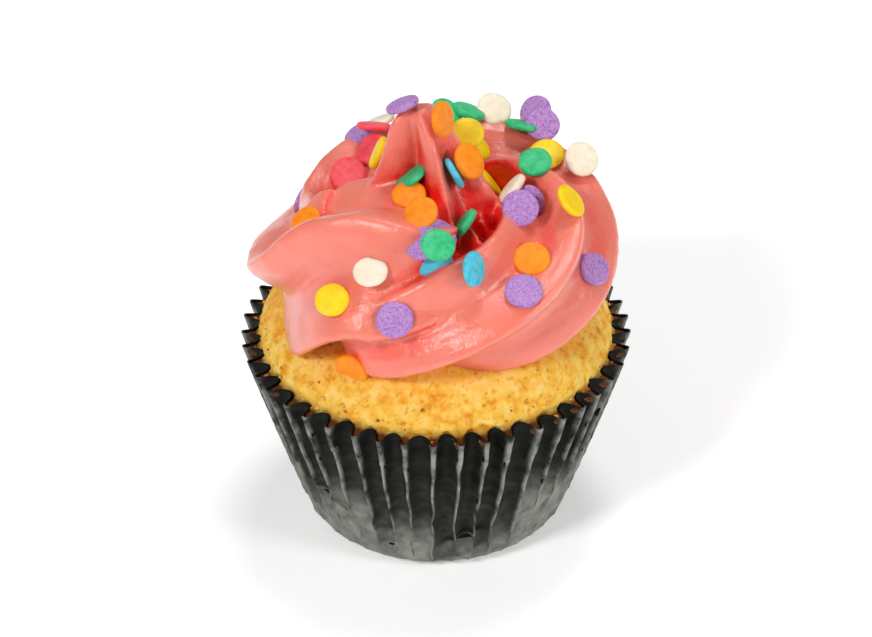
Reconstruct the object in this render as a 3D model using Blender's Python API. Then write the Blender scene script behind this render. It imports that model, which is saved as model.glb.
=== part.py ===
"""A frosted cupcake in its pleated paper case: paper_case, cake and frosting, each one closed solid.

Metres, +Z up. The origin is the middle of the case's flat underside. +X is to the right and +Y
to the back, and azimuths are counted from +X towards +Y.
"""

import bpy
import numpy as np

MM = 0.001
CLEARANCE = 0.3 * MM

# Paper case: a flat round base and a flared wall of folded pleats.
CASE_HEIGHT = 38.6 * MM
CASE_BASE_RADIUS = 24.2 * MM
CASE_RIM_RADIUS = 37.0 * MM
CASE_FLARE = 0.9
CASE_BASE_CURVE = 2.2 * MM
CASE_FLOOR = 0.6 * MM
CASE_WALL = 0.9 * MM
PLEATS = 44
PLEAT_DEPTH = 3.8 * MM
PLEAT_SHOULDERS = (0.0, 0.3, 0.7)
WALL_HEIGHTS = (0.06, 0.24, 0.6, 1.0)

# Cake: a tapered body inside the case and a dome that bulges over the rim.
CAKE_RADIUS = 33.5 * MM
DOME_HEIGHT = 12.5 * MM
DOME_POWER = 2.6
DOME_RADII = (1.0, 0.985, 0.95, 0.88, 0.76, 0.6, 0.4, 0.15)
CAKE_SEGMENTS = 66

# Frosting: a rope squeezed through a star nozzle that keeps its heading while it circles the cake,
# so each of the star's five ridges points one way and winds outwards and down round the ring. On
# the last part, where the rope climbs to the middle, it is thicker and its ridges twist.
RIDGE_HEADINGS = (69.0, 141.0, 213.0, 285.0, 357.0)
# Stations along the rope: azimuth in degrees, distance from the axis, height over the rim, radius,
# depth of the grooves as a share of the radius, and twist in degrees.
ROPE_STATIONS = (
    (226, 20.3, 14.0, 10.5, 0.34, 0),
    (238, 20.5, 16.2, 12.0, 0.36, 0),
    (262, 20.5, 18.4, 13.3, 0.36, 0),
    (290, 20.5, 20.0, 14.0, 0.36, 0),
    (340, 20.5, 20.0, 14.0, 0.36, 0),
    (406, 20.3, 19.8, 14.0, 0.36, 0),
    (466, 20.8, 18.8, 13.5, 0.34, 0),
    (500, 21.4, 15.6, 13.2, 0.34, 4),
    (522, 21.8, 13.8, 13.4, 0.36, 18),
    (545, 21.0, 14.8, 15.0, 0.46, 38),
    (565, 20.1, 18.0, 17.0, 0.49, 42),
    (585, 17.6, 21.8, 18.4, 0.38, 43),
    (600, 16.0, 22.6, 18.2, 0.28, 50),
    (613, 15.2, 21.4, 16.6, 0.27, 53),
    (628, 14.2, 19.8, 14.4, 0.28, 52),
    (648, 12.0, 19.0, 12.4, 0.32, 46),
    (675, 8.0, 19.0, 11.0, 0.34, 36),
)
ROPE_STEP = 5.0
# The peak, where the nozzle stops over the middle and lifts off: height over the rim, radius and
# groove. Its fins are the rope's ridges drawn upwards, and its tip leans to the left.
FIN_HEADINGS = (50.0, 125.0, 195.0, 288.0, 345.0)
PEAK_STATIONS = (
    (20.0, 15.0, 0.30),
    (27.0, 15.0, 0.38),
    (31.0, 13.6, 0.46),
    (34.0, 12.0, 0.50),
    (38.0, 9.6, 0.54),
    (42.0, 7.8, 0.54),
    (46.0, 6.0, 0.50),
    (48.4, 4.2, 0.46),
    (49.8, 1.8, 0.30),
)
PEAK_STEP = 1.0
PEAK_AXIS = (-1.0, 0.5)
PEAK_LEAN = -2.6
STAR_POINTS = 70
FROSTING_VOXEL = 1.35 * MM
FROSTING_KEPT = 0.27


def clear_objects():
    for thing in list(bpy.data.objects):
        bpy.data.objects.remove(thing, do_unlink=True)


def plain_material(name, color, roughness):
    material = bpy.data.materials.new(name)
    material.use_nodes = True
    shader = material.node_tree.nodes["Principled BSDF"]
    shader.inputs["Base Color"].default_value = (*color, 1.0)
    shader.inputs["Roughness"].default_value = roughness
    shader.inputs["Metallic"].default_value = 0.0
    return material


def loft(rings):
    """Vertices and faces of a skin through equal rings, closed at both ends by a fan."""
    count = len(rings[0])
    last = (len(rings) - 1) * count
    vertices = [tuple(point) for ring in rings for point in ring]
    vertices += [tuple(np.mean(rings[0], axis=0)), tuple(np.mean(rings[-1], axis=0))]
    first_hub = len(rings) * count
    faces = []
    for side in range(count):
        after = (side + 1) % count
        for start in range(0, last, count):
            faces.append((start + side, start + after, start + count + after, start + count + side))
        faces.append((first_hub, after, side))
        faces.append((first_hub + 1, last + side, last + after))
    return vertices, faces


def solid(name, skins, material):
    """One object of one or more closed skins."""
    vertices = []
    faces = []
    for skin_vertices, skin_faces in skins:
        shift = len(vertices)
        vertices += skin_vertices
        faces += [tuple(corner + shift for corner in face) for face in skin_faces]
    mesh = bpy.data.meshes.new(name)
    mesh.from_pydata(vertices, [], faces)
    mesh.materials.append(material)
    thing = bpy.data.objects.new(name, mesh)
    bpy.context.scene.collection.objects.link(thing)
    return thing


def ring_at(radius, height, azimuth):
    """A ring of points at one height; the radius is a number or one number for each azimuth."""
    level = np.full_like(azimuth, height)
    return np.stack([radius * np.cos(azimuth), radius * np.sin(azimuth), level], axis=1)


def smooth_through(stations, places):
    """Values on a cubic curve through rows of (place, value, ...)."""
    table = np.array(stations, dtype=float)
    at, values = table[:, 0], table[:, 1:]
    slopes = np.gradient(values, at, axis=0)
    left = np.clip(np.searchsorted(at, places, side="right") - 1, 0, len(at) - 2)
    span = (at[left + 1] - at[left])[:, None]
    part = (np.asarray(places) - at[left])[:, None] / span
    rise = part * part * (3.0 - 2.0 * part)
    leave = span * part * (1.0 - part) ** 2
    arrive = span * part * part * (part - 1.0)
    return (1.0 - rise) * values[left] + rise * values[left + 1] + leave * slopes[left] + arrive * slopes[left + 1]


def case_wall_radius(height):
    """Radius of the pleats' outer folds at a height."""
    share = height / CASE_HEIGHT
    return CASE_BASE_RADIUS + (CASE_RIM_RADIUS - CASE_BASE_RADIUS) * share**CASE_FLARE


def make_paper_case(material):
    pleat = np.arange(PLEATS)[:, None]
    azimuth = (2.0 * np.pi / PLEATS * (pleat + np.array(PLEAT_SHOULDERS))).ravel()
    folded_in = np.tile(np.array(PLEAT_SHOULDERS) > 0.0, PLEATS).astype(float)

    def wall_ring(height, inset):
        depth = PLEAT_DEPTH * height / CASE_HEIGHT
        return ring_at(case_wall_radius(height) - inset - depth * folded_in, height, azimuth)

    heights = [share * CASE_HEIGHT for share in WALL_HEIGHTS]
    rings = [ring_at(CASE_BASE_RADIUS - CASE_BASE_CURVE, 0.0, azimuth)]
    rings += [wall_ring(height, 0.0) for height in heights]
    rings += [wall_ring(height, CASE_WALL) for height in reversed(heights)]
    rings.append(ring_at(CASE_BASE_RADIUS - CASE_BASE_CURVE - CASE_WALL, CASE_FLOOR, azimuth))
    return solid("paper_case", [loft(rings)], material)


def dome_height(radius):
    """Height of the cake's dome over the case's rim at a distance from the axis."""
    share = np.clip(radius / CAKE_RADIUS, 0.0, 1.0)
    return DOME_HEIGHT * np.sqrt(1.0 - share**DOME_POWER)


def dome_rings(azimuth, lift):
    rings = []
    for share in DOME_RADII:
        radius = CAKE_RADIUS * share
        rings.append(ring_at(radius, CASE_HEIGHT + lift + dome_height(radius), azimuth))
    return rings


def make_cake(material):
    azimuth = np.linspace(0.0, 2.0 * np.pi, CAKE_SEGMENTS, endpoint=False)
    floor = CASE_FLOOR + CLEARANCE
    lining = CASE_WALL + 1.5 * CLEARANCE
    foot_radius = CASE_BASE_RADIUS - CASE_BASE_CURVE - lining
    neck_radius = CASE_RIM_RADIUS - PLEAT_DEPTH - lining
    neck = CASE_HEIGHT + CLEARANCE
    rings = [
        ring_at(foot_radius, floor, azimuth),
        ring_at(foot_radius + 1.2 * MM, floor + 2.0 * MM, azimuth),
        ring_at(neck_radius, neck - 2.0 * CLEARANCE, azimuth),
        ring_at(neck_radius, neck, azimuth),
    ]
    rings += dome_rings(azimuth, 3.0 * CLEARANCE)
    return solid("cake", [loft(rings)], material)


def star(headings, groove, azimuth):
    """Outline of the nozzle's star: 1 on a ridge, less in the grooves between the ridges."""
    across = np.interp(np.degrees(azimuth) % 360.0, *ridge_phase(headings))
    return 1.0 - groove * np.abs(np.sin(np.pi * across)) ** 1.25


def ridge_phase(headings):
    """Azimuths from under 0 to over 360 and a phase that grows by one from ridge to ridge."""
    ordered = sorted(heading % 360.0 for heading in headings)
    around = [ordered[-1] - 360.0, *ordered, ordered[0] + 360.0]
    return around, np.arange(len(around))


def heading_frame(tangent):
    """Section axes of the rope: world X and Y carried along by the shortest turn of +Z to the tangent."""
    lean_x, lean_y, rise = tangent
    keep = 1.0 / (1.0 + rise)
    along_x = np.array([1.0 - keep * lean_x**2, -keep * lean_x * lean_y, -lean_x])
    along_y = np.array([-keep * lean_x * lean_y, 1.0 - keep * lean_y**2, -lean_y])
    return along_x, along_y


def rope_skin():
    azimuth = np.linspace(0.0, 2.0 * np.pi, STAR_POINTS, endpoint=False)
    way = np.arange(ROPE_STATIONS[0][0], ROPE_STATIONS[-1][0] + 0.5 * ROPE_STEP, ROPE_STEP)
    reach, height, thickness, groove, twist = smooth_through(ROPE_STATIONS, way).T
    turn = np.radians(way)
    route = MM * np.stack([reach * np.cos(turn), reach * np.sin(turn), CASE_HEIGHT / MM + height], axis=1)
    tangents = np.gradient(route, axis=0)
    tangents /= np.linalg.norm(tangents, axis=1)[:, None]
    rings = []
    for centre, tangent, radius, depth, spin in zip(route, tangents, thickness, groove, np.radians(twist)):
        along_x, along_y = heading_frame(tangent)
        section = np.cos(azimuth)[:, None] * along_x + np.sin(azimuth)[:, None] * along_y
        outline = radius * MM * star(RIDGE_HEADINGS, depth, azimuth - spin)
        rings.append(centre + outline[:, None] * section)
    return loft(rings)


def peak_skin():
    azimuth = np.linspace(0.0, 2.0 * np.pi, STAR_POINTS, endpoint=False)
    low, high = PEAK_STATIONS[0][0], PEAK_STATIONS[-1][0]
    heights = np.append(np.arange(low, high, PEAK_STEP), high)
    rings = []
    for height, (radius, groove) in zip(heights, smooth_through(PEAK_STATIONS, heights)):
        lean = PEAK_LEAN * ((height - low) / (high - low)) ** 3
        ring = ring_at(radius * MM * star(FIN_HEADINGS, groove, azimuth), CASE_HEIGHT + height * MM, azimuth)
        rings.append(ring + np.array([PEAK_AXIS[0] + lean, PEAK_AXIS[1], 0.0]) * MM)
    return loft(rings)


def make_dome_cutter(material):
    """The space under the frosting: the cake's dome, lifted by the clearance, and all below it."""
    azimuth = np.linspace(0.0, 2.0 * np.pi, CAKE_SEGMENTS, endpoint=False)
    skirt_radius = 1.4 * CAKE_RADIUS
    skirt_top = CASE_HEIGHT + 4.0 * CLEARANCE
    rings = [
        ring_at(skirt_radius, CASE_HEIGHT - DOME_HEIGHT, azimuth),
        ring_at(skirt_radius, skirt_top, azimuth),
    ]
    rings += dome_rings(azimuth, 4.0 * CLEARANCE)
    cutter = solid("dome_cutter", [loft(rings)], material)
    cutter.hide_render = True
    cutter.display_type = "WIRE"
    return cutter


def make_frosting(material):
    frosting = solid("frosting", [rope_skin(), peak_skin()], material)
    merge = frosting.modifiers.new("merge", "REMESH")
    merge.mode = "VOXEL"
    merge.voxel_size = FROSTING_VOXEL
    merge.use_smooth_shade = True
    soften = frosting.modifiers.new("soften", "SMOOTH")
    soften.factor = 0.5
    soften.iterations = 2
    thin_out = frosting.modifiers.new("thin_out", "DECIMATE")
    thin_out.ratio = FROSTING_KEPT
    seat = frosting.modifiers.new("seat", "BOOLEAN")
    seat.operation = "DIFFERENCE"
    seat.solver = "EXACT"
    seat.object = make_dome_cutter(material)
    return frosting


def main():
    clear_objects()
    make_paper_case(plain_material("black_paper", (0.02, 0.02, 0.018), 0.4))
    make_cake(plain_material("golden_sponge", (0.78, 0.46, 0.10), 0.8))
    make_frosting(plain_material("pink_frosting", (0.87, 0.27, 0.20), 0.4))


main()
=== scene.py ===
"""Looks of the frosted cupcake: fine frosting, sponge, pleated paper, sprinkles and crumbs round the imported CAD."""

import math

import bpy
import numpy as np
from mathutils import Matrix, Vector, noise
from mathutils.bvhtree import BVHTree
from mathutils.kdtree import KDTree


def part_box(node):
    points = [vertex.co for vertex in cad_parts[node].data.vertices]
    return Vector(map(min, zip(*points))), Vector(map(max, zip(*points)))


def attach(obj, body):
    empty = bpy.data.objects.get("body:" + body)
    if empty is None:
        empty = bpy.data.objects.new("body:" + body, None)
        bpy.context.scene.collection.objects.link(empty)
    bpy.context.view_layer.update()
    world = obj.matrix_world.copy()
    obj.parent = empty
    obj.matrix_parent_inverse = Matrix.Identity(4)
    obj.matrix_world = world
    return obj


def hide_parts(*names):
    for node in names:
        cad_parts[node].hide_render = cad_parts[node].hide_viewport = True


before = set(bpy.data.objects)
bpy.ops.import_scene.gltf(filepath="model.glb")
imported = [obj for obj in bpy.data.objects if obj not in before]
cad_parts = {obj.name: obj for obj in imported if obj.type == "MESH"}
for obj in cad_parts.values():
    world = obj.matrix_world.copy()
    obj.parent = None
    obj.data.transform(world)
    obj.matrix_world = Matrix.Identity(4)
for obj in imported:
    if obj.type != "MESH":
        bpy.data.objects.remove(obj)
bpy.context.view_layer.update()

# All lengths below are in millimetres; build() scales them to metres. Azimuths count from +X towards +Y.
MM = 0.001
case_low, case_high = (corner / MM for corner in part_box("paper_case"))
RIM = case_high.z
RIM_RADIUS = case_high.x

# Paper case
BASE_RADIUS = 24.0
BASE_CURVE = 3.4
FLARE = 0.9
PAPER = 0.3
PLEATS = 44
PLEAT_DEPTH = 3.8
POINTS_PER_PLEAT = 18
OUTER_ROWS = 72
INNER_ROWS = 14
CREASES = 34

# Cake
CAKE_RADIUS = 33.5
DOME_HEIGHT = 12.5
DOME_POWER = 2.6

# Frosting
VOXEL = 0.45
SHADE_RAYS = 20
SHADE_REACH = 11.0
SECTION_POINTS = 180
RIDGES = (69.0, 141.0, 213.0, 285.0, 357.0)
FINS = (50.0, 125.0, 195.0, 288.0, 345.0)
# Stations along the rope: azimuth, distance from the axis, height over the rim, radius, groove, twist.
ROPE_STATIONS = (
    (226, 20.3, 14.0, 10.5, 0.34, 0),
    (238, 20.5, 16.2, 12.0, 0.36, 0),
    (262, 20.5, 18.4, 13.3, 0.36, 0),
    (290, 20.5, 20.0, 14.0, 0.36, 0),
    (340, 20.5, 20.0, 14.0, 0.36, 0),
    (406, 20.3, 19.8, 14.0, 0.36, 0),
    (466, 20.8, 18.8, 13.5, 0.34, 0),
    (500, 21.4, 15.6, 13.2, 0.34, 4),
    (522, 21.8, 13.8, 13.4, 0.36, 18),
    (545, 21.0, 14.8, 15.0, 0.46, 38),
    (565, 20.1, 18.0, 17.0, 0.49, 42),
    (585, 17.6, 21.8, 18.4, 0.38, 43),
    (600, 16.0, 22.6, 18.2, 0.28, 50),
    (613, 15.2, 21.4, 16.6, 0.27, 53),
    (628, 14.2, 19.8, 14.4, 0.28, 52),
    (648, 12.0, 19.0, 12.4, 0.32, 46),
    (675, 8.0, 19.0, 11.5, 0.34, 36),
    (730, 8.0, 19.0, 12.0, 0.30, 20),
)
ROPE_STEP = 2.0
# Stations up the peak: height over the rim, radius, groove.
PEAK_STATIONS = (
    (20.0, 15.0, 0.30),
    (27.0, 15.0, 0.38),
    (31.0, 13.6, 0.46),
    (34.0, 12.0, 0.50),
    (38.0, 9.6, 0.54),
    (42.0, 7.8, 0.54),
    (46.0, 6.0, 0.50),
    (48.4, 4.2, 0.46),
    (49.8, 1.8, 0.30),
)
PEAK_STEP = 0.4
PEAK_AXIS = (-1.0, 0.5)
PEAK_LEAN = -2.6

# Sprinkles: flat sugar discs. Each is placed by a direction from the middle of the frosting, faces
# another direction, and is lifted off the surface where it lies on others; angles in degrees.
DISC_RADIUS = 3.35
DISC_HALF_THICKNESS = 0.75
DISC_SIDES = 40
MIDDLE = Vector((0.0, 0.0, RIM + 14.0))
SPRINKLES = {
    "purple": (
        (180, 81, 146, 63, 0.3),
        (119, 24, 177, 64, -1.0),
        (274, 48, 330, 55, -2.0),
        (264, 43, 230, 50, -1.9),
        (256, 17, 265, 30, 0.0),
        (327, 47, 272, 48, 0.0),
        (352, 40, 235, 15, 0.0),
        (302, 22, 270, 65, 0.0),
        (340, 13, 321, 42, 0.0),
        (53, 30, 230, 45, 2.2),
        (47, 30, 275, 50, 1.2),
    ),
    "orange": (
        (300, 88, 333, 18, 0.6),
        (339, 77, 327, 37, 0.0),
        (238, 66, 250, 75, 0.0),
        (260, 50, 235, 50, 0.0),
        (314, 29, 270, 60, 0.0),
        (238, -12, 240, -2, 0.0),
        (187, 28, 210, 50, -0.4),
    ),
    "green": (
        (85, 41, 330, 55, 1.0),
        (75, 38, 36, 65, 0.5),
        (218, 75, 170, 53, 0.0),
        (266, 44, 295, 62, 2.6),
        (298, 54, 166, 35, 0.0),
        (17, 45, 253, 70, 0.0),
        (53, 33, 63, 65, 0.2),
    ),
    "yellow": (
        (57, 75, 270, 60, 0.0),
        (66, 38, 346, 55, 1.5),
        (36, 57, 16, 35, 1.0),
        (176, 68, 174, 24, 2.0),
        (235, 18, 258, 60, 0.0),
        (346, 35, 350, 45, 0.0),
        (36, 30, 272, 70, 0.5),
    ),
    "white": (
        (66, 35, 292, 55, 0.3),
        (112, 25, 137, 60, 1.0),
        (245, 32, 268, 72, 0.0),
        (350, 50, 163, 38, 1.5),
        (26, 25, 298, 50, 1.4),
        (105, 80, 80, 50, 2.5),
    ),
    "pink": (
        (118, 27, 82, 62, 2.8),
        (140, 28, 250, 45, 1.2),
        (121, 30, 218, 51, 0.2),
    ),
    "blue": (
        (313, 80, 18, 24, 0.0),
        (269, 36, 259, 30, 0.0),
        (284, 34, 335, 17, 0.0),
    ),
}
SCATTER_TRIES = 60
CRUMBS = 170


def smooth_through(stations, places):
    """Values on a monotone cubic curve through rows of (place, value, ...)."""
    table = np.array(stations, dtype=float)
    at, values = table[:, 0], table[:, 1:]
    span = np.diff(at)
    secant = np.diff(values, axis=0) / span[:, None]
    slopes = np.zeros_like(values)
    slopes[0], slopes[-1] = secant[0], secant[-1]
    before, after = (2.0 * span[1:] + span[:-1])[:, None], (span[1:] + 2.0 * span[:-1])[:, None]
    same_way = secant[:-1] * secant[1:] > 0.0
    safe = np.where(same_way, secant[:-1], 1.0), np.where(same_way, secant[1:], 1.0)
    slopes[1:-1] = np.where(same_way, (before + after) / (before / safe[0] + after / safe[1]), 0.0)
    left = np.clip(np.searchsorted(at, places, side="right") - 1, 0, len(at) - 2)
    part = ((np.asarray(places) - at[left]) / span[left])[:, None]
    rise = part * part * (3.0 - 2.0 * part)
    leave = span[left][:, None] * part * (1.0 - part) ** 2
    arrive = span[left][:, None] * part * part * (part - 1.0)
    return (1.0 - rise) * values[left] + rise * values[left + 1] + leave * slopes[left] + arrive * slopes[left + 1]


def loft(rings, closed=True):
    """Vertices and faces of a skin through equal rings, with a fan over each end."""
    rings = np.array(rings)
    rows, count = rings.shape[:2]
    vertices = np.concatenate([rings.reshape(-1, 3), rings[[0, -1]].mean(axis=1)])
    here = np.arange(rows - 1)[:, None] * count + np.arange(count)
    after = np.roll(here, -1, axis=1)
    faces = np.stack([here, after, after + count, here + count], axis=-1).reshape(-1, 4).tolist()
    side = np.arange(count)
    hub, last = rows * count, (rows - 1) * count
    for corner in side:
        beside = (corner + 1) % count
        faces.append((hub, beside, corner))
        faces.append((hub + 1, last + corner, last + beside))
    return vertices, faces


def joined(skins):
    vertices, faces, shift = [], [], 0
    for skin_vertices, skin_faces in skins:
        vertices.append(np.asarray(skin_vertices))
        faces += [tuple(corner + shift for corner in face) for face in skin_faces]
        shift += len(skin_vertices)
    return np.concatenate(vertices), faces


def build(name, vertices, faces, material):
    """An object from vertices in millimetres, shaded smooth, with its material."""
    mesh = bpy.data.meshes.new(name)
    mesh.from_pydata((np.asarray(vertices) * MM).tolist(), [], faces)
    mesh.validate()
    mesh.shade_smooth()
    mesh.materials.append(material)
    thing = bpy.data.objects.new(name, mesh)
    bpy.context.scene.collection.objects.link(thing)
    return thing


def points_of(mesh):
    flat = np.empty(3 * len(mesh.vertices))
    mesh.vertices.foreach_get("co", flat)
    return flat.reshape(-1, 3) / MM


def normals_of(mesh):
    flat = np.empty(3 * len(mesh.vertices))
    mesh.vertex_normals.foreach_get("vector", flat)
    return flat.reshape(-1, 3)


def move_points(mesh, points):
    mesh.vertices.foreach_set("co", (points * MM).ravel())
    mesh.update()


def ripples(points, size, seed, octaves=3):
    """Smooth noise from about -1 to 1 at each point; size is the width of its lumps."""
    shift = Vector((seed * 17.3, seed * -9.1, seed * 5.7))
    scale = 1.0 / size
    return np.array([noise.fractal(Vector(point) * scale + shift, 1.0, 2.0, octaves) for point in points])


def add_mask(mesh, name, values):
    """A grey value for each vertex, which the materials read by name."""
    layer = mesh.attributes.new(name, "FLOAT", "POINT")
    layer.data.foreach_set("value", np.clip(values, 0.0, 1.0).astype(np.float32))


# ---------------------------------------------------------------- materials


class Shader:
    """Short calls for one material's nodes."""

    def __init__(self, name):
        self.material = bpy.data.materials.new(name)
        self.material.use_nodes = True
        self.nodes = self.material.node_tree.nodes
        self.links = self.material.node_tree.links
        self.surface = self.nodes["Principled BSDF"]

    def link(self, source, socket):
        self.links.new(source, socket)

    def place(self):
        return self.nodes.new("ShaderNodeTexCoord").outputs["Object"]

    def noise(self, size, detail=3.0, roughness=0.55):
        """Noise whose lumps are about this many millimetres wide."""
        texture = self.nodes.new("ShaderNodeTexNoise")
        texture.inputs["Scale"].default_value = 1.0 / (size * MM)
        texture.inputs["Detail"].default_value = detail
        texture.inputs["Roughness"].default_value = roughness
        self.link(self.place(), texture.inputs["Vector"])
        return texture.outputs["Fac"]

    def mask(self, name):
        attribute = self.nodes.new("ShaderNodeAttribute")
        attribute.attribute_name = name
        return attribute.outputs["Fac"]

    def ramp(self, source, *stops):
        """A colour ramp; each stop is (position, colour)."""
        ramp = self.nodes.new("ShaderNodeValToRGB")
        elements = ramp.color_ramp.elements
        while len(elements) < len(stops):
            elements.new(0.5)
        for element, (position, color) in zip(elements, stops):
            element.position = position
            element.color = (*color, 1.0)
        self.link(source, ramp.inputs["Fac"])
        return ramp.outputs["Color"]

    def mix(self, factor, first, second, kind="MIX"):
        """Mixes two colours; each is a colour or a socket, and the factor a number or a socket."""
        mixer = self.nodes.new("ShaderNodeMix")
        mixer.data_type = "RGBA"
        mixer.blend_type = kind
        sockets = (mixer.inputs["Factor"], mixer.inputs[6], mixer.inputs[7])
        for socket, value in zip(sockets, (factor, first, second)):
            if isinstance(value, bpy.types.NodeSocket):
                self.link(value, socket)
            elif isinstance(value, tuple):
                socket.default_value = (*value, 1.0)
            else:
                socket.default_value = value
        return mixer.outputs[2]

    def bump(self, *layers):
        """Bumps from (height socket, height in millimetres) pairs, chained onto the normal."""
        before = None
        for height, depth in layers:
            bump = self.nodes.new("ShaderNodeBump")
            bump.inputs["Distance"].default_value = depth * MM
            self.link(height, bump.inputs["Height"])
            if before is not None:
                self.link(before, bump.inputs["Normal"])
            before = bump.outputs["Normal"]
        self.link(before, self.surface.inputs["Normal"])

    def set(self, **values):
        for name, value in values.items():
            self.surface.inputs[name.replace("_", " ")].default_value = value


def linear(red, green, blue):
    """A colour as the shader wants it, from 0 to 255 display values."""
    shares = (red / 255.0, green / 255.0, blue / 255.0)
    return tuple(share / 12.92 if share <= 0.04045 else ((share + 0.055) / 1.055) ** 2.4 for share in shares)


def frosting_material():
    shader = Shader("coral_frosting")
    tone = shader.ramp(shader.noise(9.0), (0.3, linear(239, 124, 104)), (0.7, linear(244, 136, 116)))
    # Painted shade: the groove mask turns the coral deep red where the frosting is hidden by its own folds, standing
    # in for the red shade deep in the grooves.
    deep = shader.mix(shader.mask("groove"), tone, linear(234, 20, 8))
    shader.link(deep, shader.surface.inputs["Base Color"])
    shader.set(
        Subsurface_Weight=0.8,
        Subsurface_Radius=(1.0, 0.3, 0.2),
        Subsurface_Scale=0.7 * MM,
        Roughness=0.36,
        Specular_IOR_Level=0.5,
        Coat_Weight=0.7,
        Coat_Roughness=0.13,
    )
    shader.bump((shader.noise(1.3, 2.0), 0.09), (shader.noise(0.42, 2.0, 0.7), 0.10))
    normal = shader.surface.inputs["Normal"].links[0].from_socket
    shader.link(normal, shader.surface.inputs["Coat Normal"])
    return shader.material


def sponge_material():
    shader = Shader("golden_sponge")
    mottle = shader.ramp(
        shader.noise(2.6, 5.0, 0.6),
        (0.34, linear(230, 156, 36)),
        (0.5, linear(247, 198, 80)),
        (0.66, linear(252, 216, 122)),
    )
    baked = shader.mix(shader.mask("baked"), mottle, linear(96, 50, 14))
    # Painted shade: the pores, already sunk into the crust, are also painted a darker orange, standing in for the
    # shade inside the pits.
    pore_shade = shader.mix(shader.mask("pore"), baked, linear(206, 134, 34))
    shader.link(pore_shade, shader.surface.inputs["Base Color"])
    shader.set(
        Subsurface_Weight=0.6,
        Subsurface_Radius=(1.0, 0.6, 0.25),
        Subsurface_Scale=1.0 * MM,
        Roughness=0.8,
        Specular_IOR_Level=0.25,
    )
    shader.bump((shader.noise(0.9, 4.0, 0.7), 0.25), (shader.noise(0.3, 2.0), 0.10))
    return shader.material


SPRINKLE_TONES = {
    "purple": ((164, 116, 184), (194, 148, 206)),
    "orange": ((246, 130, 2), (252, 150, 10)),
    "green": ((30, 178, 108), (70, 200, 138)),
    "yellow": ((242, 200, 0), (250, 214, 8)),
    "white": ((234, 220, 194), (244, 234, 214)),
    "pink": ((240, 70, 84), (252, 98, 108)),
    "blue": ((40, 178, 206), (98, 206, 228)),
}


def sprinkle_material(color):
    shader = Shader(color + "_sugar")
    dark, light = (linear(*tone) for tone in SPRINKLE_TONES[color])
    speckled = color == "purple"
    grain = shader.noise(0.55 if speckled else 1.6, 3.0, 0.7)
    tone = shader.ramp(grain, (0.34, dark), (0.62, light))
    if speckled:
        violet = shader.ramp(shader.noise(0.42, 2.0, 0.7), (0.38, (1.0,) * 3), (0.44, (0.0,) * 3))
        tone = shader.mix(violet, tone, linear(140, 92, 180))
    shader.link(tone, shader.surface.inputs["Base Color"])
    shader.set(
        Subsurface_Weight=0.25,
        Subsurface_Radius=(0.6, 0.5, 0.5),
        Subsurface_Scale=0.5 * MM,
        Roughness=0.5,
        Specular_IOR_Level=0.35,
    )
    shader.bump((grain, 0.12 if speckled else 0.05))
    return shader.material


def crumb_material():
    shader = Shader("browned_crumb")
    tone = shader.ramp(shader.noise(1.6), (0.36, linear(150, 84, 22)), (0.5, linear(216, 146, 48)), (0.62, linear(246, 196, 96)))
    shader.link(tone, shader.surface.inputs["Base Color"])
    shader.set(Roughness=0.8, Specular_IOR_Level=0.25)
    shader.bump((shader.noise(0.3, 2.0), 0.08))
    return shader.material


def paper_material():
    shader = Shader("black_paper")
    tone = shader.ramp(shader.noise(5.0, 4.0), (0.35, (0.0012, 0.0012, 0.001)), (0.7, (0.005, 0.005, 0.0043)))
    # Partly painted reflection: the pale mask lightens the lower wall to grey, standing in for the white floor
    # reflected there, and partly the paler stretched paper where the pleats fade.
    low = shader.ramp(shader.noise(3.0, 4.0), (0.3, (0.10, 0.103, 0.09)), (0.7, (0.27, 0.28, 0.245)))
    stretch_and_floor_reflection = shader.mix(shader.mask("pale"), tone, low)
    # Partly painted highlight: the fold mask paints the narrow crest facets pale grey, partly worn creases and partly
    # the light those facets catch.
    crest_wear_and_highlight = shader.ramp(shader.noise(4.0, 3.0), (0.35, (0.03, 0.03, 0.027)), (0.6, (0.30, 0.30, 0.27)))
    crest = shader.mix(shader.mask("fold"), stretch_and_floor_reflection, crest_wear_and_highlight)
    shader.link(crest, shader.surface.inputs["Base Color"])
    rough = shader.ramp(shader.noise(2.5, 4.0), (0.3, (0.42,) * 3), (0.7, (0.6,) * 3))
    shader.link(rough, shader.surface.inputs["Roughness"])
    shader.set(Specular_IOR_Level=0.05)
    shader.bump((shader.noise(2.0, 3.0), 0.14), (shader.noise(0.4, 3.0), 0.03))
    return shader.material


# ---------------------------------------------------------------- paper case


def case_radius(height):
    """Radius of the pleats' outer folds at a height over the table."""
    share = np.clip(height / RIM, 0.0, 1.0)
    return BASE_RADIUS + (RIM_RADIUS - BASE_RADIUS) * share**FLARE


def pleat_pattern():
    """Seeded differences from pleat to pleat: where each starts, its depth, and where it fades out."""
    chance = np.random.default_rng(44)
    widths = 1.0 + chance.uniform(-0.13, 0.13, PLEATS)
    starts = np.concatenate([[0.0], np.cumsum(widths)]) / widths.sum()
    depths = 1.0 + chance.uniform(-0.16, 0.06, PLEATS)
    feet = chance.uniform(-3.0, 14.0, PLEATS)
    return starts, depths, feet


def pleat_points():
    """For each point round the case: its azimuth, its pleat, and its place across that pleat."""
    starts, _, _ = pleat_pattern()
    pleat = np.repeat(np.arange(PLEATS), POINTS_PER_PLEAT)
    even = np.arange(POINTS_PER_PLEAT) / POINTS_PER_PLEAT
    across = np.tile(even - 0.06 * np.sin(2.0 * np.pi * even), PLEATS)
    turn = 2.0 * np.pi * (starts[pleat] + across * (starts[pleat + 1] - starts[pleat]))
    return turn, pleat, across


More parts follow.
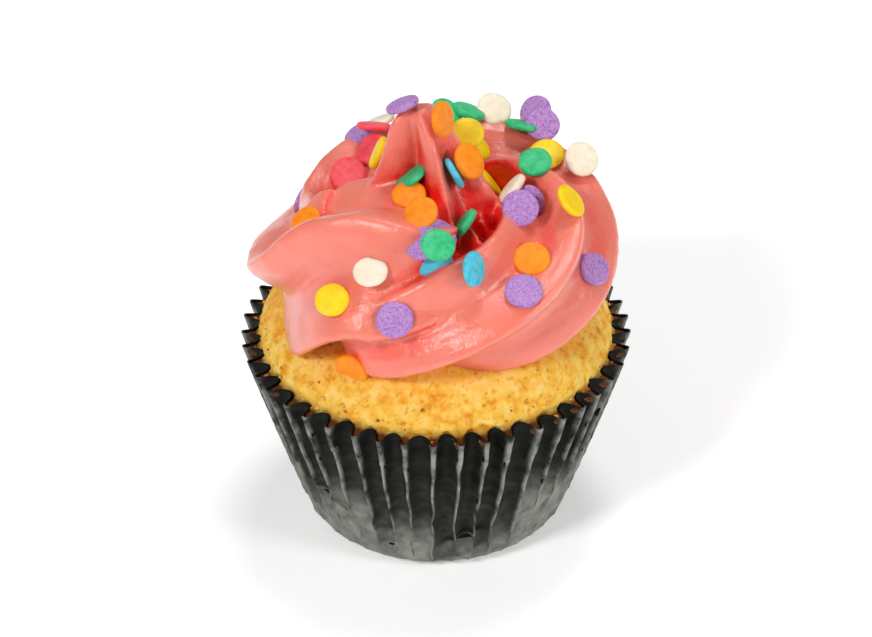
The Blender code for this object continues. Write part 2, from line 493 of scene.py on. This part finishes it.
def channel_shape(across, facet):
    """0 on the fold's narrow flat facet, and up to 1 in the middle of the round channel."""
    inside = np.clip((across - 0.5 * facet) / (1.0 - facet), 0.0, 1.0)
    return np.sqrt(np.clip(1.0 - (2.0 * inside - 1.0) ** 2, 0.0, 1.0))


def wandering(height, pleat, across):
    """Azimuth by which the folds stray sideways at a height."""
    strays = np.array([noise.noise(Vector((height / 5.0, 3.1 * fold, 0.5))) for fold in range(PLEATS)])
    strays = np.append(strays, strays[0]) * 0.030 * (1.0 - 0.8 * height / RIM)
    return strays[pleat] * (1.0 - across) + strays[pleat + 1] * across


def crease_shift(turn, height):
    """Outward shift from short curved creases pressed into the lower wall."""
    chance = np.random.default_rng(21)
    shift = np.zeros_like(turn)
    for _ in range(CREASES):
        middle, level = chance.uniform(0.0, 2.0 * np.pi), chance.uniform(1.5, 15.0)
        slope, bend, reach = chance.uniform(-0.9, 0.9), chance.uniform(-0.14, 0.14), chance.uniform(2.0, 4.5)
        along = (np.remainder(turn - middle + np.pi, 2.0 * np.pi) - np.pi) * BASE_RADIUS
        line = level + slope * along + bend * along**2
        across = (height - line) / 1.1
        shift += chance.uniform(0.35, 0.75) * across * np.exp(-(across**2) - (along / reach) ** 4)
    return shift


def paper_skin(rows, inset):
    """Rings of points on the pleated wall from the underside to the rim, and their masks."""
    _, depths, feet = pleat_pattern()
    turn, pleat, across = pleat_points()
    rings, folds, pales = [], [], []
    for height in RIM * np.linspace(0.0, 1.0, rows) ** 1.15:
        share = height / RIM
        fade = np.clip((height - feet[pleat]) / 12.0, 0.0, 1.0)
        fade = 0.14 + 0.86 * fade * fade * (3.0 - 2.0 * fade)
        facet = 0.05 + 0.17 * share**3
        channel = channel_shape(across, facet)
        grown = PLEAT_DEPTH * (0.30 + 0.70 * share) * fade * depths[pleat]
        curve = 1.0 - min(height / BASE_CURVE, 1.0)
        rounding = BASE_CURVE * (1.0 - math.sqrt(1.0 - curve**2))
        around = turn + wandering(height, pleat, across)
        wrinkle = 0.16 * np.array([noise.noise(Vector((a * 9.0, height / 1.4, 2.0))) for a in turn])
        soft = crease_shift(turn, height) + wrinkle * (1.0 - 0.7 * share)
        radius = case_radius(height) - rounding - grown * channel - inset
        radius += np.minimum(soft * min(1.0, height / 3.0), 0.2)
        level = np.full_like(turn, max(height, inset))
        rings.append(np.stack([radius * np.cos(around), radius * np.sin(around), level], axis=1))
        # The fold mask: 1 on the crest facets, which the paper material paints pale as worn creases and as painted
        # highlight.
        folds.append(np.clip(1.0 - 3.5 * channel, 0.0, 1.0))
        # The pale mask: lighter towards the bottom, where the pleats fade and along pressed-in creases; partly
        # stretched paper, partly a painted floor reflection.
        pales.append(np.clip(1.25 - fade - 0.2 * share - soft, 0.0, 1.0))
    return rings, np.concatenate(folds), np.concatenate(pales)


def make_case():
    outer, folds, pales = paper_skin(OUTER_ROWS, 0.0)
    inner, _, _ = paper_skin(INNER_ROWS, PAPER)
    vertices, faces = loft(outer + inner[::-1])
    case = build("pleated_case", vertices, faces, paper_material())
    rest = np.zeros(len(vertices) - len(folds))
    add_mask(case.data, "fold", np.append(folds, rest))
    add_mask(case.data, "pale", np.append(pales, rest))
    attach(case, "root")
    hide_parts("paper_case")
    return case


# ---------------------------------------------------------------- cake


def dome_height(radius):
    share = np.clip(radius / CAKE_RADIUS, 0.0, 1.0)
    return DOME_HEIGHT * np.sqrt(1.0 - share**DOME_POWER)


def cake_rings(turn, pocket):
    """Radius and height round the cake, from its underside to the top of the dome."""
    rings = []
    for height in np.linspace(0.9, RIM - 3.0, 8):
        rings.append((np.full_like(turn, case_radius(height) - PLEAT_DEPTH - 0.5), height))
    for drop, fill in ((2.2, 0.6), (1.5, 0.95), (1.0, 1.0), (0.6, 0.8), (0.3, 0.4)):
        rings.append((CAKE_RADIUS - 0.6 + (pocket - CAKE_RADIUS + 0.6) * fill, RIM - drop))
    for share in np.sin(np.linspace(0.49 * np.pi, 0.04, 76)):
        rise = dome_height(CAKE_RADIUS * share)
        rings.append((np.minimum(CAKE_RADIUS * share, pocket + rise), RIM + rise))
    return [np.stack([r * np.cos(turn), r * np.sin(turn), np.full_like(turn, z)], axis=1) for r, z in rings]


def make_cake():
    turn, pleat, across = pleat_points()
    channel = channel_shape(across, 0.27)
    pocket = RIM_RADIUS - PAPER - 0.6 - PLEAT_DEPTH * pleat_pattern()[1][pleat] * channel
    vertices, faces = loft(cake_rings(turn, pocket))
    cake = build("sponge_cake", vertices, faces, sponge_material())
    points = points_of(cake.data)
    normals = normals_of(cake.data)
    lumps = ripples(points, 5.0, 3)
    grain = ripples(points, 0.9, 5)
    over_rim = np.clip((points[:, 2] - RIM + 0.6) / 1.6, 0.0, 1.0)
    pores = np.clip(grain - 0.30, 0.0, 1.0)
    shift = over_rim * (0.40 * lumps + 0.14 * grain - 0.8 * pores)
    move_points(cake.data, points + normals * shift[:, None])
    # The pore mask marks the sunk pits, which the sponge material paints darker as painted shade.
    add_mask(cake.data, "pore", over_rim * pores * 1.5)
    edge = np.clip(1.0 - (points[:, 2] - RIM) / 1.6, 0.0, 1.0)
    outside = np.clip((np.hypot(points[:, 0], points[:, 1]) - CAKE_RADIUS + 0.2) / 0.8, 0.0, 1.0)
    patches = np.clip(0.35 + 0.9 * ripples(points, 3.0, 8), 0.0, 1.0)
    add_mask(cake.data, "baked", np.maximum(0.75 * edge * patches, outside))
    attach(cake, "root")
    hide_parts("cake")
    return cake


# ---------------------------------------------------------------- frosting


def star(headings, groove, azimuth):
    """Outline of the nozzle's star: 1 on a ridge, less in the grooves between the ridges."""
    degrees = np.degrees(azimuth) % 360.0
    ordered = sorted(headings)
    around = np.array([ordered[-1] - 360.0, *ordered, ordered[0] + 360.0])
    left = np.searchsorted(around, degrees, side="right") - 1
    gap = around[left + 1] - around[left]
    across = (degrees - around[left]) / gap
    down = np.sin(0.5 * np.pi * np.clip(across / 0.47, 0.0, 1.0)) ** 1.25
    up = np.clip(np.cos(0.5 * np.pi * (across - 0.47) / 0.53), 0.0, 1.0) ** 1.25
    wide = np.minimum(gap * len(headings) / 360.0, 1.25)
    return 1.0 - groove * np.where(across < 0.47, down, up) * wide


def heading_frame(tangent):
    """Section axes of the rope: world X and Y carried by the shortest turn of +Z to the tangent."""
    lean_x, lean_y, rise = tangent
    keep = 1.0 / (1.0 + rise)
    along_x = np.array([1.0 - keep * lean_x**2, -keep * lean_x * lean_y, -lean_x])
    along_y = np.array([-keep * lean_x * lean_y, 1.0 - keep * lean_y**2, -lean_y])
    return along_x, along_y


def rope_skin():
    azimuth = np.linspace(0.0, 2.0 * np.pi, SECTION_POINTS, endpoint=False)
    way = np.arange(ROPE_STATIONS[0][0], ROPE_STATIONS[-1][0] + 0.5 * ROPE_STEP, ROPE_STEP)
    reach, height, thickness, groove, twist = smooth_through(ROPE_STATIONS, way).T
    turn = np.radians(way)
    route = np.stack([reach * np.cos(turn), reach * np.sin(turn), RIM + height], axis=1)
    tangents = np.gradient(route, axis=0)
    tangents /= np.linalg.norm(tangents, axis=1)[:, None]
    rings = []
    for centre, tangent, radius, depth, spin in zip(route, tangents, thickness, groove, np.radians(twist)):
        along_x, along_y = heading_frame(tangent)
        section = np.cos(azimuth)[:, None] * along_x + np.sin(azimuth)[:, None] * along_y
        rings.append(centre + radius * star(RIDGES, depth, azimuth - spin)[:, None] * section)
    return loft(rings)


def peak_skin():
    azimuth = np.linspace(0.0, 2.0 * np.pi, SECTION_POINTS, endpoint=False)
    low, high = PEAK_STATIONS[0][0], PEAK_STATIONS[-1][0]
    heights = np.arange(low, high + 0.5 * PEAK_STEP, PEAK_STEP)
    rings = []
    for height, (radius, groove) in zip(heights, smooth_through(PEAK_STATIONS, heights)):
        outline = radius * star(FINS, groove, azimuth)
        lean = PEAK_LEAN * ((height - low) / (high - low)) ** 3
        x = PEAK_AXIS[0] + lean + outline * np.cos(azimuth)
        y = PEAK_AXIS[1] + outline * np.sin(azimuth)
        rings.append(np.stack([x, y, np.full_like(x, RIM + height)], axis=1))
    return loft(rings)


def melt_together(thing):
    """Merges the crossing skins into one smooth body, and keeps the result as the mesh."""
    merge = thing.modifiers.new("merge", "REMESH")
    merge.mode = "VOXEL"
    merge.voxel_size = VOXEL * MM
    soften = thing.modifiers.new("soften", "SMOOTH")
    soften.factor = 0.5
    soften.iterations = 5
    evaluated = thing.evaluated_get(bpy.context.evaluated_depsgraph_get())
    mesh = bpy.data.meshes.new_from_object(evaluated)
    thing.modifiers.clear()
    thing.data = mesh
    mesh.shade_smooth()


def drag_lines(points, skins):
    """Fine lines from -1 to 1 that the nozzle draws along the rope and up the peak."""
    tree = KDTree(sum(len(vertices) for vertices, _ in skins))
    sources = []
    for skin, (vertices, _) in enumerate(skins):
        for number, vertex in enumerate(vertices):
            tree.insert(vertex, len(sources))
            ring, side = divmod(number, SECTION_POINTS)
            sources.append((skin, ring, side * 2.0 * math.pi / SECTION_POINTS))
    tree.balance()
    lines = np.empty(len(points))
    for number, point in enumerate(points):
        around, ring, skin = Vector((0.0, 0.0)), 0.0, 0
        for _, source, distance in tree.find_n(point, 4):
            weight = 1.0 / (distance + 0.05)
            skin, ring, angle = sources[source]
            around += weight * Vector((math.cos(angle), math.sin(angle)))
        place = around.normalized() * 11.0
        lines[number] = noise.fractal(Vector((place.x, place.y, 0.05 * ring + 9.0 * skin)), 1.0, 2.0, 2)
    return lines


def hidden_share(surface, points, normals):
    """Share of short rays from each point that meet the frosting again: near 1 deep in a groove."""
    chance = np.random.default_rng(5)
    spread = chance.normal(size=(SHADE_RAYS, 3))
    spread = [Vector(way).normalized() * 0.98 for way in spread]
    shares = np.empty(len(points))
    for number, (point, normal) in enumerate(zip(points, normals)):
        out = Vector(normal)
        start = (Vector(point) + out * 0.25) * MM
        hits = sum(surface.ray_cast(start, out + way, SHADE_REACH * MM)[0] is not None for way in spread)
        shares[number] = hits / SHADE_RAYS
    return shares


def make_frosting():
    skins = [rope_skin(), peak_skin()]
    vertices, faces = joined(skins)
    frosting = build("frosting_swirl", vertices, faces, frosting_material())
    melt_together(frosting)
    mesh = frosting.data
    points = points_of(mesh)
    normals = normals_of(mesh)
    surface = BVHTree.FromObject(frosting, bpy.context.evaluated_depsgraph_get())
    # The groove mask is painted shade: the share of short rays that meet the frosting again, which the frosting
    # material paints deep red.
    add_mask(mesh, "groove", 2.7 * hidden_share(surface, points, normals) - 0.2)
    swell = 0.22 * ripples(points, 9.0, 11) + 0.05 * ripples(points, 2.2, 12)
    swell += 0.09 * drag_lines(points, skins)
    points += normals * swell[:, None]
    seat = RIM + dome_height(np.hypot(points[:, 0], points[:, 1])) - 0.4
    points[:, 2] = np.maximum(points[:, 2], seat)
    move_points(mesh, points)
    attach(frosting, "root")
    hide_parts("frosting")
    return frosting


# ---------------------------------------------------------------- sprinkles and crumbs


def direction(azimuth, elevation):
    turn, rise = math.radians(azimuth), math.radians(elevation)
    return Vector((math.cos(turn) * math.cos(rise), math.sin(turn) * math.cos(rise), math.sin(rise)))


def disc_skin(chance):
    """A flat round disc with full edges, a little out of round; its faces look along Z."""
    turn = np.linspace(0.0, 2.0 * np.pi, DISC_SIDES, endpoint=False)
    radius = DISC_RADIUS * chance.uniform(0.95, 1.04)
    half = DISC_HALF_THICKNESS * chance.uniform(0.85, 1.2)
    outline = 1.0 + chance.uniform(0.0, 0.03) * np.cos(2.0 * turn + chance.uniform(0.0, 6.0))
    outline += 0.006 * np.cos(5.0 * turn + chance.uniform(0.0, 6.0))
    rings = []
    for share in np.linspace(-1.0, 1.0, 15):
        angle = 0.5 * np.pi * share
        reach = radius * (0.72 * abs(np.cos(angle)) ** 0.16 + 0.28 * abs(np.cos(angle)) ** 0.7)
        level = half * np.sign(share) * abs(np.sin(angle)) ** 0.8
        ring = np.stack([reach * outline * np.cos(turn), reach * outline * np.sin(turn)], axis=1)
        rings.append(np.column_stack([ring, np.full(DISC_SIDES, level)]))
    return loft(rings)


def resting_place(surface, way, facing, lift=0.0):
    """Centre and facing of a disc that touches the surface where the way from the middle leaves it."""
    start = (MIDDLE + way * 90.0) * MM
    hit, normal, _, _ = surface.ray_cast(start, -way)
    if facing is None:
        facing = (normal + 0.5 * way).normalized()
    across = abs(facing.dot(normal))
    reach = DISC_RADIUS * math.sqrt(max(0.0, 1.0 - across**2)) + DISC_HALF_THICKNESS * across
    sunk = 0.25 + 0.45 * (reach - DISC_HALF_THICKNESS)
    return hit / MM + normal * (reach - sunk + lift), facing


def sprinkle_places(surface, chance):
    """(colour, centre, facing) of every sprinkle: the placed ones, then a few scattered over the back."""
    found = []
    for color, places in SPRINKLES.items():
        for azimuth, elevation, face_azimuth, face_elevation, lift in places:
            facing = direction(face_azimuth, face_elevation)
            found.append((color, *resting_place(surface, direction(azimuth, elevation), facing, lift)))
    colors = list(SPRINKLES)
    for _ in range(SCATTER_TRIES):
        way = direction(chance.uniform(55.0, 150.0), chance.uniform(-10.0, 18.0))
        centre, facing = resting_place(surface, way, None)
        if all((centre - other).length > 2.6 * DISC_RADIUS for _, other, _ in found):
            found.append((colors[len(found) % len(colors)], centre, facing))
    return found


def make_sprinkles(frosting):
    surface = BVHTree.FromObject(frosting, bpy.context.evaluated_depsgraph_get())
    chance = np.random.default_rng(7)
    skins = {color: [] for color in SPRINKLES}
    for color, centre, facing in sprinkle_places(surface, chance):
        vertices, faces = disc_skin(chance)
        turned = np.array(facing.to_track_quat("Z", "Y").to_matrix())
        skins[color].append((vertices @ turned.T + np.array(centre), faces))
    for color, discs in skins.items():
        vertices, faces = joined(discs)
        piece = build("sprinkles_" + color, vertices, faces, sprinkle_material(color))
        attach(piece, "root")


def crumb_skin(chance):
    """A rough little lump about one millimetre across at most."""
    turn = np.linspace(0.0, 2.0 * np.pi, 9, endpoint=False)
    size = chance.uniform(0.18, 0.5)
    rings = []
    for angle in np.linspace(-0.42 * np.pi, 0.42 * np.pi, 5):
        ring = np.stack([np.cos(angle) * np.cos(turn), np.cos(angle) * np.sin(turn)], axis=1)
        rings.append(np.column_stack([ring, np.full(len(turn), 0.75 * np.sin(angle))]))
    vertices, faces = loft(rings)
    return vertices * size * chance.uniform(0.7, 1.3, (len(vertices), 1)), faces


def make_crumbs(cake):
    """Crumbs lying along the cake's edge and in the pockets of the pleats."""
    surface = BVHTree.FromObject(cake, bpy.context.evaluated_depsgraph_get())
    chance = np.random.default_rng(19)
    skins = []
    for _ in range(CRUMBS):
        turn = chance.uniform(0.0, 2.0 * np.pi)
        reach = CAKE_RADIUS + chance.normal(0.2, 0.8)
        over = Vector((reach * math.cos(turn), reach * math.sin(turn), RIM + 30.0))
        hit = surface.ray_cast(over * MM, Vector((0.0, 0.0, -1.0)))[0]
        vertices, faces = crumb_skin(chance)
        if hit is not None:
            skins.append((vertices + np.array(hit / MM) + np.array([0.0, 0.0, 0.05]), faces))
    vertices, faces = joined(skins)
    crumbs = build("crumbs", vertices, faces, crumb_material())
    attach(crumbs, "root")


# ---------------------------------------------------------------- stage


def make_floor():
    side = 3.0
    mesh = bpy.data.meshes.new("floor")
    corners = [(-side, -side, 0.0), (side, -side, 0.0), (side, side, 0.0), (-side, side, 0.0)]
    mesh.from_pydata(corners, [], [(0, 1, 2, 3)])
    shader = Shader("pale_floor")
    tone = shader.ramp(shader.noise(300.0), (0.4, (0.93,) * 3), (0.6, (0.95,) * 3))
    shader.link(tone, shader.surface.inputs["Base Color"])
    shader.set(Roughness=0.9, Specular_IOR_Level=0.1, Emission_Color=(1.0,) * 4, Emission_Strength=0.28)
    mesh.materials.append(shader.material)
    floor = bpy.data.objects.new("floor", mesh)
    bpy.context.scene.collection.objects.link(floor)


def add_light(name, place, target, size, power):
    light = bpy.data.lights.new(name, "AREA")
    light.shape = "DISK"
    light.size = size
    light.energy = power
    lamp = bpy.data.objects.new(name, light)
    lamp.location = place
    lamp.rotation_euler = (Vector(target) - Vector(place)).to_track_quat("-Z", "Y").to_euler()
    bpy.context.scene.collection.objects.link(lamp)


def make_lights():
    middle = (0.0, 0.0, 0.06)
    add_light("key", (-0.55, -0.7, 0.8), middle, 0.26, 6.6)
    add_light("fill", (0.8, -0.5, 0.55), middle, 0.3, 3.6)
    add_light("top", (0.1, 0.3, 1.1), middle, 0.35, 4.0)
    world = bpy.data.worlds.new("studio")
    world.use_nodes = True
    background = world.node_tree.nodes["Background"]
    background.inputs["Color"].default_value = (1.0, 1.0, 1.0, 1.0)
    background.inputs["Strength"].default_value = 0.26
    bpy.context.scene.world = world


def make_camera():
    elevation = math.radians(35.3)
    distance = 0.7607
    target = Vector((0.0, 0.0, 0.04125))
    back = Vector((0.0, -math.cos(elevation), math.sin(elevation)))
    lens = bpy.data.cameras.new("camera")
    lens.lens = 165.6
    lens.sensor_width = 36.0
    camera = bpy.data.objects.new("camera", lens)
    camera.location = target + back * distance
    camera.rotation_euler = (-back).to_track_quat("-Z", "Y").to_euler()
    bpy.context.scene.collection.objects.link(camera)
    bpy.context.scene.camera = camera


def main():
    make_case()
    cake = make_cake()
    make_crumbs(cake)
    frosting = make_frosting()
    make_sprinkles(frosting)
    make_floor()
    make_lights()
    make_camera()
    bpy.context.scene.view_settings.view_transform = "Standard"


main()
